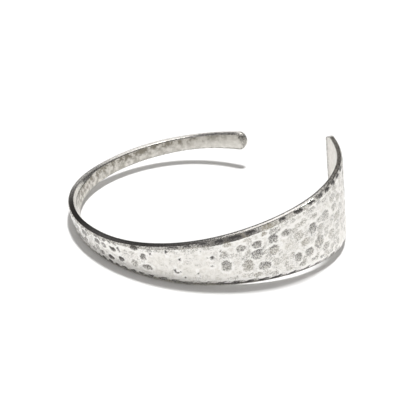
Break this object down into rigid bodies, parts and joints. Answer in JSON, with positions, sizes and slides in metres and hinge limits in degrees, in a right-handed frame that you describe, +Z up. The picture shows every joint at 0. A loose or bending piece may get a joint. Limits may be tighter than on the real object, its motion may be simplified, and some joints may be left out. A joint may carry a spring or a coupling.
{
  "type": "spoon bangle",
  "caption": "Open cuff bangle of hammered silver: a slim stem with a rounded tip widens round the wrist into a broad, square-cut blade.",
  "frame": {"origin": "on the surface the cuff rests on, under the middle of its box", "axes": "+Z up from that surface, +X along the oval's long axis towards the broad blade, +Y along its short axis towards the slim tip and the opening"},
  "size_m": [0.0626, 0.0518, 0.0215],
  "materials": {
    "hammered_silver": "hand-hammered silver with dark tarnish left in the dents and along the edges, and a pale worn sheen"
  },
  "bodies": {
    "root": {"cuff": "hammered_silver"}
  },
  "joints": []
}
